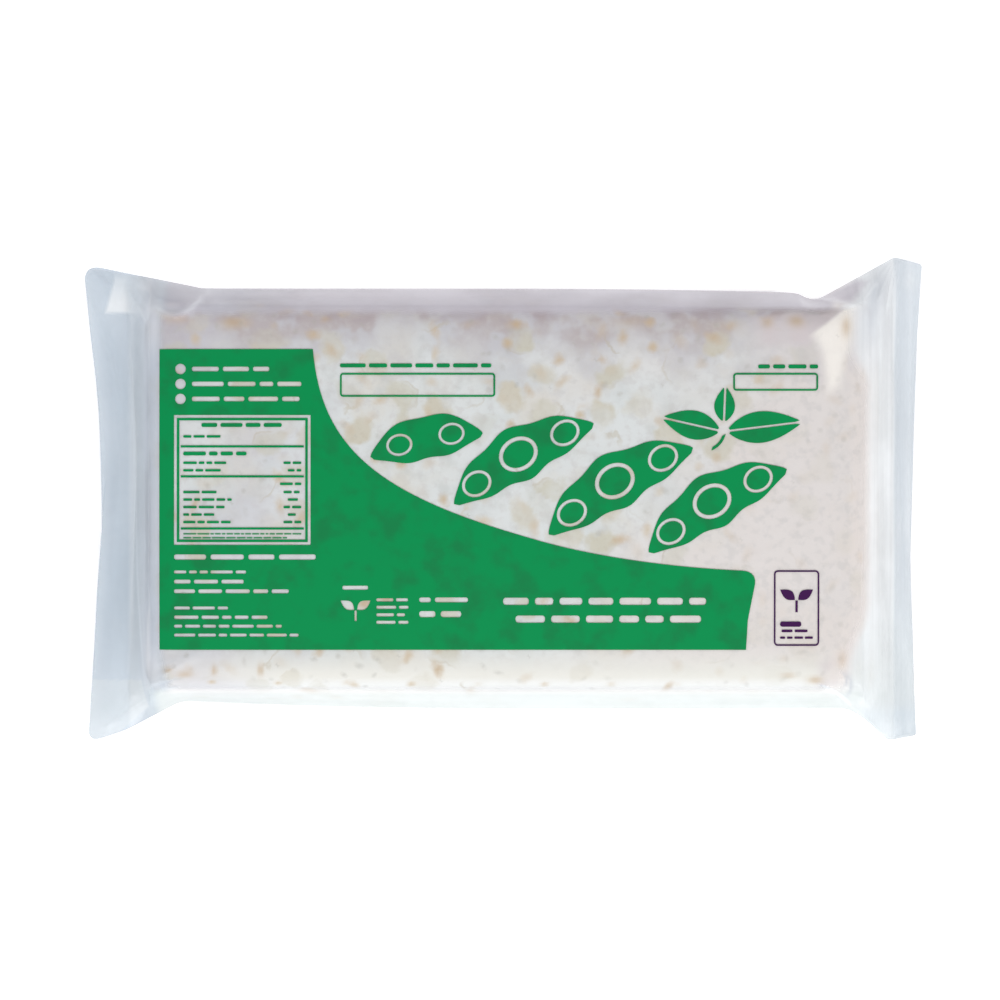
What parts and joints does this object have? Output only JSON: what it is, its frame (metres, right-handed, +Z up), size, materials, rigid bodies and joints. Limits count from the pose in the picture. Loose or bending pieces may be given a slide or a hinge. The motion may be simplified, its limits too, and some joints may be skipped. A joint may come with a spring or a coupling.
{
  "type": "packed tempeh cake",
  "caption": "Rectangular slab of tempeh sealed in a clear printed film sleeve with flat welded ends.",
  "frame": {"origin": "on the surface that the pack lies on, under the middle of its overall box", "axes": "+X along the pack from its left end to its right end as the print reads, +Y across the pack to the upper edge of the print, +Z up through the printed side"},
  "size_m": [0.2384, 0.1378, 0.0237],
  "materials": {
    "film": "clear soft glossy plastic film, creased at the ends",
    "tempeh": "matt off-white mycelium with pale soybean halves",
    "green_print": "green ink on the film",
    "purple_print": "thin dark purple ink on the film"
  },
  "bodies": {
    "root": {"sealed_pack": "film"}
  },
  "joints": []
}
